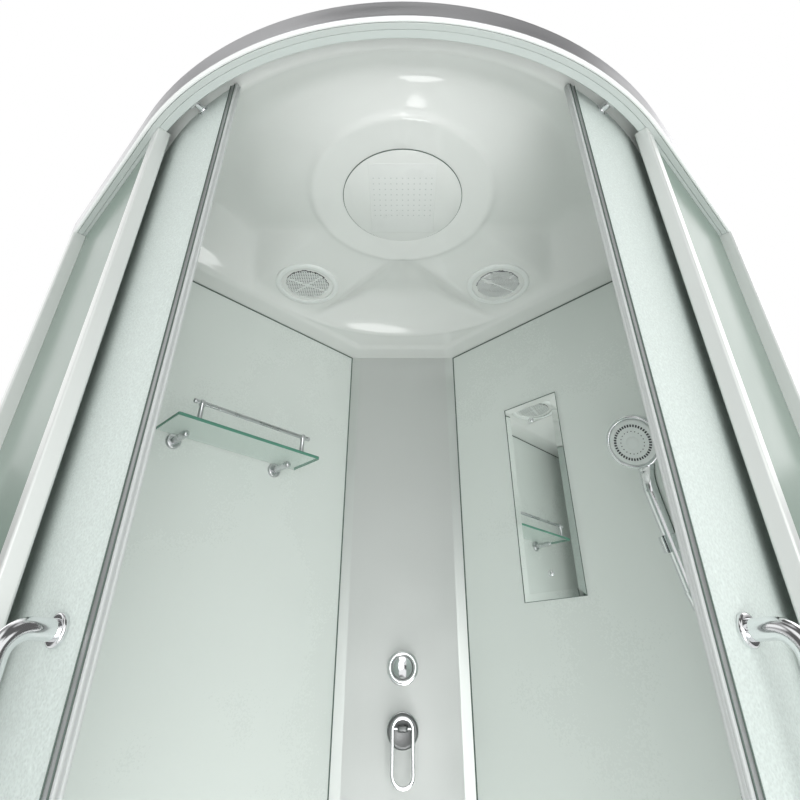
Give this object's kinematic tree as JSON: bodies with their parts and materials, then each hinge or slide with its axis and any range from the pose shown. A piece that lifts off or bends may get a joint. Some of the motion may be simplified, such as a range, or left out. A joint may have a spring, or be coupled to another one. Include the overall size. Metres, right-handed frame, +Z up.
{
  "type": "shower cabin",
  "caption": "Quarter-round corner shower cabin with curved sliding frosted doors, deep tray, domed roof, rain shower, hand shower, mixer column, glass shelf and mirror.",
  "frame": {"origin": "middle of the square footprint, on the floor", "axes": "+Z up; the back walls are at -X and +Y; the rounded front with its doors faces +X and -Y"},
  "size_m": [0.9, 0.9, 2.15],
  "materials": {
    "tray_acrylic": "gloss",
    "roof_acrylic": "gloss",
    "painted_steel": "satin",
    "zinc_steel": "satin",
    "grey_plastic": "matt",
    "chrome": "polished",
    "rail_aluminium": "satin",
    "frame_aluminium": "satin",
    "clear_glass": "polished",
    "frosted_glass": "frosted",
    "wall_glass": "gloss",
    "dark_seal": "matt",
    "clear_seal": "matt",
    "column_sheet": "satin",
    "brass": "satin",
    "nozzle_plastic": "gloss",
    "white_plastic": "gloss",
    "dark_plastic": "matt",
    "shelf_glass": "polished",
    "mirror": "polished",
    "hose_metal": "polished",
    "wheel_plastic": "matt"
  },
  "bodies": {
    "cabin": {"tray": "tray_acrylic", "tray_frame": "painted_steel", "tray_feet": "zinc_steel", "tray_apron": "tray_acrylic", "drain_body": "grey_plastic", "drain_trap": "grey_plastic", "lower_rail": "rail_aluminium", "upper_rail": "rail_aluminium", "wall_posts": "frame_aluminium", "left_jamb": "frame_aluminium", "right_jamb": "frame_aluminium", "left_fixed_glass": "clear_glass", "right_fixed_glass": "clear_glass", "left_wall_panel": "wall_glass", "right_wall_panel": "wall_glass", "wall_gaskets": "dark_seal", "column_panel": "column_sheet", "column_trims": "frame_aluminium", "roof": "roof_acrylic", "rain_plate": "roof_acrylic", "rain_head": "nozzle_plastic", "valve_block": "brass", "valve_plates": "chrome", "mixer_cartridge": "grey_plastic", "water_pipes": "zinc_steel", "speaker_grille": "white_plastic", "speaker_driver": "dark_plastic", "fan_grille": "white_plastic", "fan_housing": "grey_plastic", "shelf_glass": "shelf_glass", "shelf_brackets": "chrome", "shelf_rail": "chrome", "mirror": "mirror", "mirror_screws": "chrome", "hose_outlet": "chrome", "shower_hose": "hose_metal", "holder_base": "chrome"},
    "mixer_cap": {"mixer_cap": "chrome"},
    "mixer_lever": {"mixer_lever": "chrome"},
    "diverter_knob": {"diverter_knob": "chrome"},
    "drain_cover": {"drain_cover": "chrome"},
    "fan_rotor": {"fan_rotor": "dark_plastic"},
    "holder_clamp": {"holder_clamp": "chrome"},
    "hand_shower": {"hand_shower": "chrome"},
    "spray_face": {"spray_face": "dark_plastic"},
    "left_door": {"left_door_glass": "frosted_glass", "left_door_edge": "frame_aluminium", "left_door_seals": "clear_seal", "left_door_hangers": "chrome", "left_door_handle": "chrome"},
    "left_front_wheel": {"left_front_wheel": "wheel_plastic"},
    "left_rear_wheel": {"left_rear_wheel": "wheel_plastic"},
    "right_door": {"right_door_glass": "frosted_glass", "right_door_edge": "frame_aluminium", "right_door_seals": "clear_seal", "right_door_hangers": "chrome", "right_door_handle": "chrome"},
    "right_front_wheel": {"right_front_wheel": "wheel_plastic"},
    "right_rear_wheel": {"right_rear_wheel": "wheel_plastic"}
  },
  "joints": [
    {"name": "left_door_slide", "type": "hinge", "parent": "cabin", "child": "left_door", "pos_m": [-0.115, 0.115, 0], "axis": [0, 0, 1], "range_deg": [0, 27.75]},
    {"name": "left_front_wheel_turn", "type": "hinge", "parent": "left_door", "child": "left_front_wheel", "pos_m": [-0.0268, -0.41623, 2.0628], "axis": [0.1638, -0.9865, 0], "continuous": true},
    {"name": "left_rear_wheel_turn", "type": "hinge", "parent": "left_door", "child": "left_rear_wheel", "pos_m": [-0.29226, -0.39349, 2.0628], "axis": [-0.3292, -0.9443, 0], "continuous": true},
    {"name": "right_door_slide", "type": "hinge", "parent": "cabin", "child": "right_door", "pos_m": [-0.115, 0.115, 0], "axis": [0, 0, 1], "range_deg": [-27.75, 0]},
    {"name": "right_front_wheel_turn", "type": "hinge", "parent": "right_door", "child": "right_front_wheel", "pos_m": [0.41623, 0.0268, 2.0628], "axis": [0.9865, -0.1638, 0], "continuous": true},
    {"name": "right_rear_wheel_turn", "type": "hinge", "parent": "right_door", "child": "right_rear_wheel", "pos_m": [0.39349, 0.29226, 2.0628], "axis": [0.9443, 0.3292, 0], "continuous": true},
    {"name": "mixer_turn", "type": "hinge", "parent": "cabin", "child": "mixer_cap", "pos_m": [-0.32593, 0.32593, 1.243], "axis": [0.7071, -0.7071, 0], "range_deg": [-45, 45]},
    {"name": "mixer_lift", "type": "hinge", "parent": "mixer_cap", "child": "mixer_lever", "pos_m": [-0.30628, 0.30628, 1.248], "axis": [-0.7071, -0.7071, 0], "range_deg": [0, 25]},
    {"name": "diverter_turn", "type": "hinge", "parent": "cabin", "child": "diverter_knob", "pos_m": [-0.32735, 0.32735, 1.347], "axis": [0.7071, -0.7071, 0], "range_deg": [-60, 60]},
    {"name": "drain_lift", "type": "slide", "parent": "cabin", "child": "drain_cover", "axis": [0, 0, 1], "range_m": [0, 0.03]},
    {"name": "fan_spin", "type": "hinge", "parent": "cabin", "child": "fan_rotor", "pos_m": [0.02, 0.28, 2.1], "axis": [0, 0, 1], "continuous": true},
    {"name": "holder_tilt", "type": "hinge", "parent": "cabin", "child": "holder_clamp", "pos_m": [0.22849, 0.402, 1.504], "axis": [0.9978, 0, 0.0663], "range_deg": [-14, 14], "deforming": ["shower_hose"]},
    {"name": "handset_lift", "type": "slide", "parent": "holder_clamp", "child": "hand_shower", "axis": [-0.0642, -0.2487, 0.9665], "range_m": [0, 0.05], "deforming": ["shower_hose"]},
    {"name": "spray_turn", "type": "hinge", "parent": "hand_shower", "child": "spray_face", "pos_m": [0.21804, 0.32405, 1.66118], "axis": [0.0295, -0.8957, -0.4437], "range_deg": [-60, 60]}
  ],
  "couplings": [
    {"joint": "left_front_wheel_turn", "follows": "left_door_slide", "ratio": -57},
    {"joint": "left_rear_wheel_turn", "follows": "left_door_slide", "ratio": -57},
    {"joint": "right_front_wheel_turn", "follows": "right_door_slide", "ratio": -57},
    {"joint": "right_rear_wheel_turn", "follows": "right_door_slide", "ratio": -57}
  ]
}
